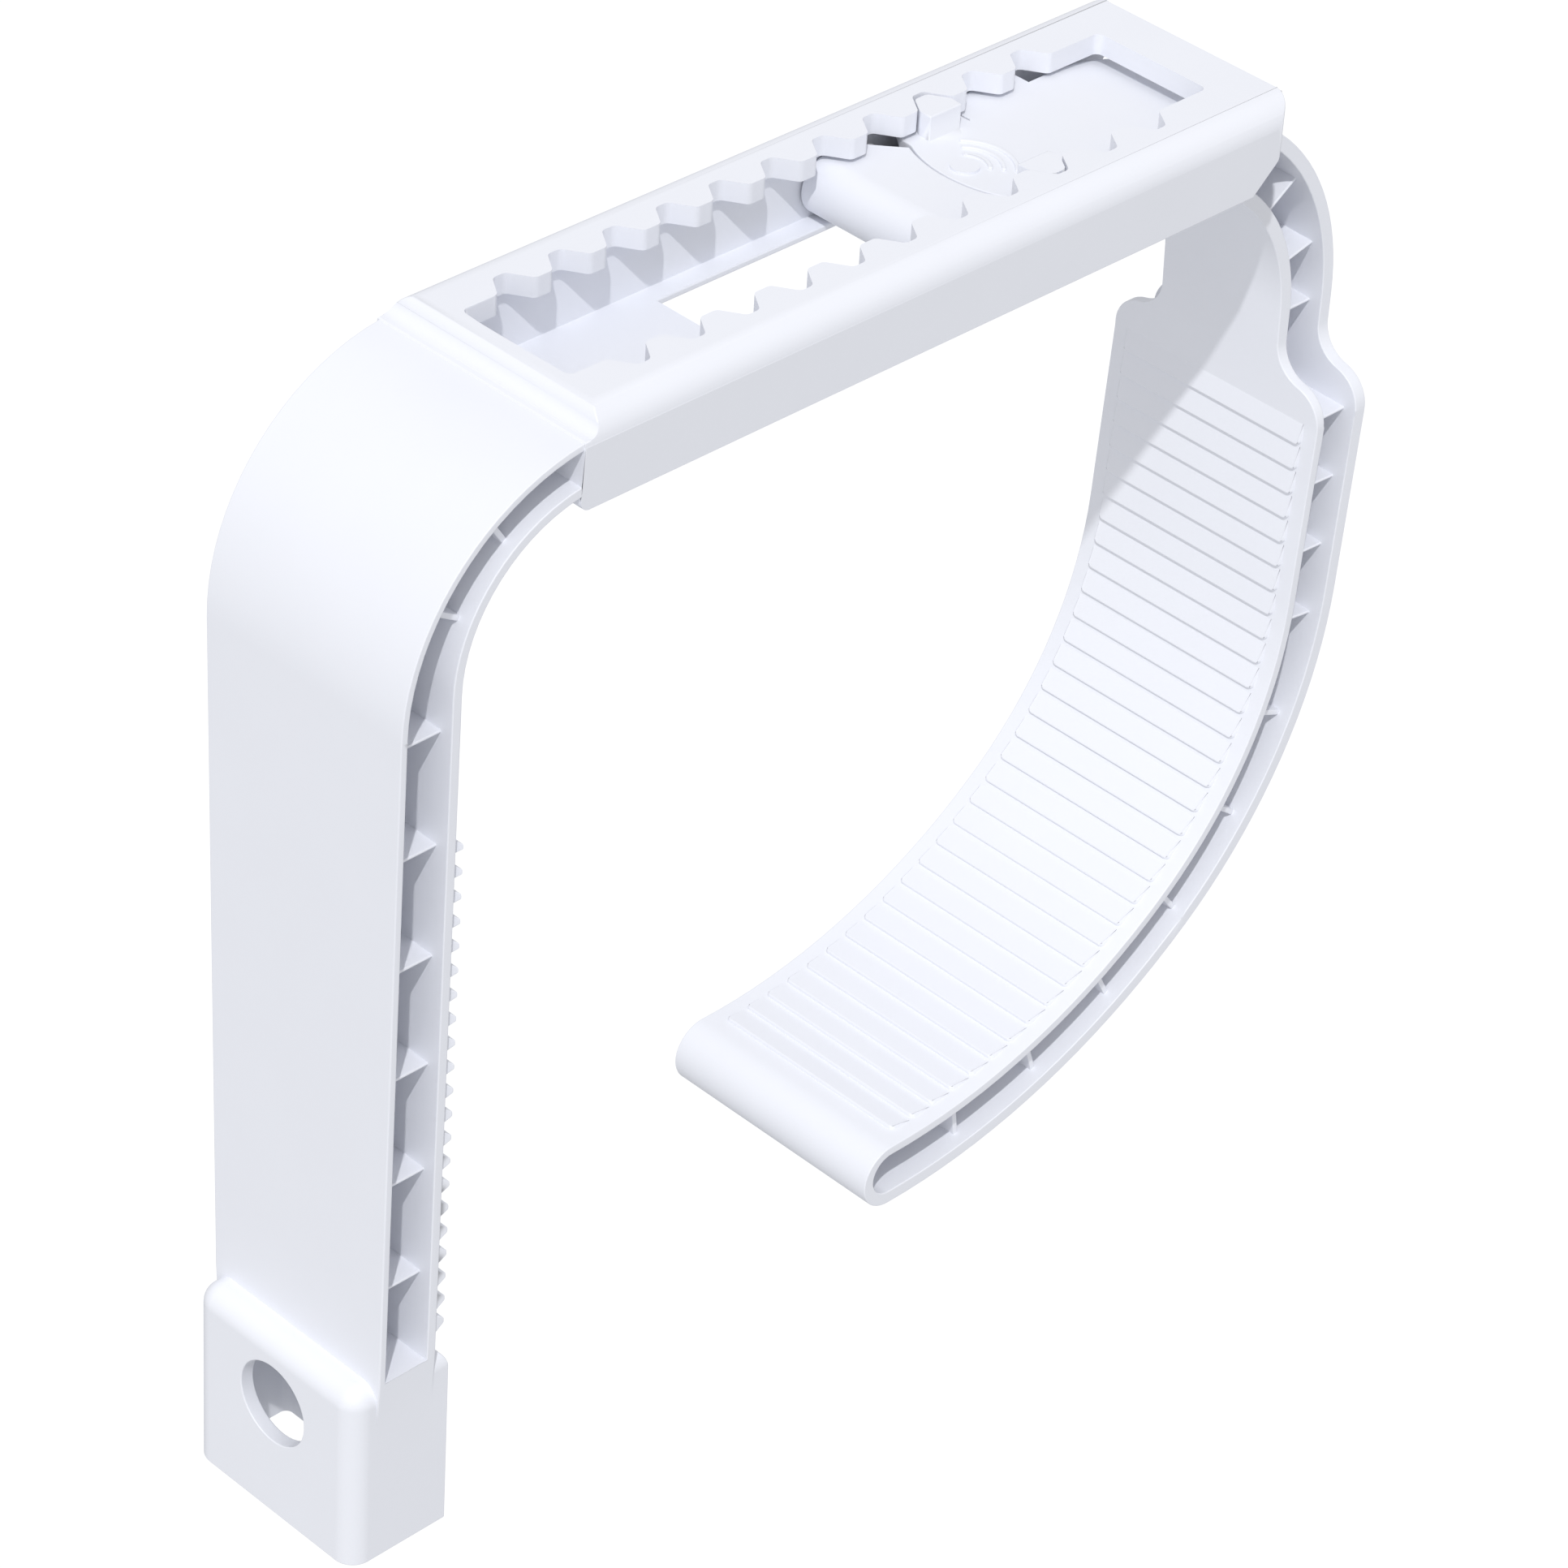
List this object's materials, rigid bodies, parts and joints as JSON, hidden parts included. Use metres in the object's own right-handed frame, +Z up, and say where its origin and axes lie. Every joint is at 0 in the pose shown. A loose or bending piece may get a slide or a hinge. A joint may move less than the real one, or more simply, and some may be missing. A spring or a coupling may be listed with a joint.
{
  "type": "adjustable clamp hanger",
  "caption": "Over-the-rim clamp hanger: fixed leg with a socket foot, toothed rack frame, sliding curved jaw and press-down latch tongue.",
  "frame": {"origin": "middle of the open bottom of the socket foot, on the plane that the foot's walls end on", "axes": "+Z up along the fixed leg, +X along the rack from the fixed leg to the sliding jaw, Y across the width; the part is symmetric about the plane Y = 0"},
  "size_m": [0.237, 0.05, 0.2183],
  "materials": {
    "arm_plastic": "satin white moulding",
    "jaw_plastic": "satin white moulding",
    "tongue_plastic": "satin white moulding"
  },
  "bodies": {
    "arm": {"fixed_arm": "arm_plastic"},
    "jaw": {"sliding_jaw": "jaw_plastic"},
    "tongue": {"latch_tongue": "tongue_plastic"}
  },
  "joints": [
    {"name": "jaw_slide", "type": "slide", "parent": "arm", "child": "jaw", "axis": [1, 0, 0], "range_m": [-0.084, 0.024]},
    {"name": "latch_press", "type": "hinge", "parent": "jaw", "child": "tongue", "pos_m": [0.17215, 0, 0.2125], "axis": [0, -1, 0], "range_deg": [0, 9], "stiffness_Nm_per_rad": 2, "deforming": ["latch_tongue"]}
  ]
}
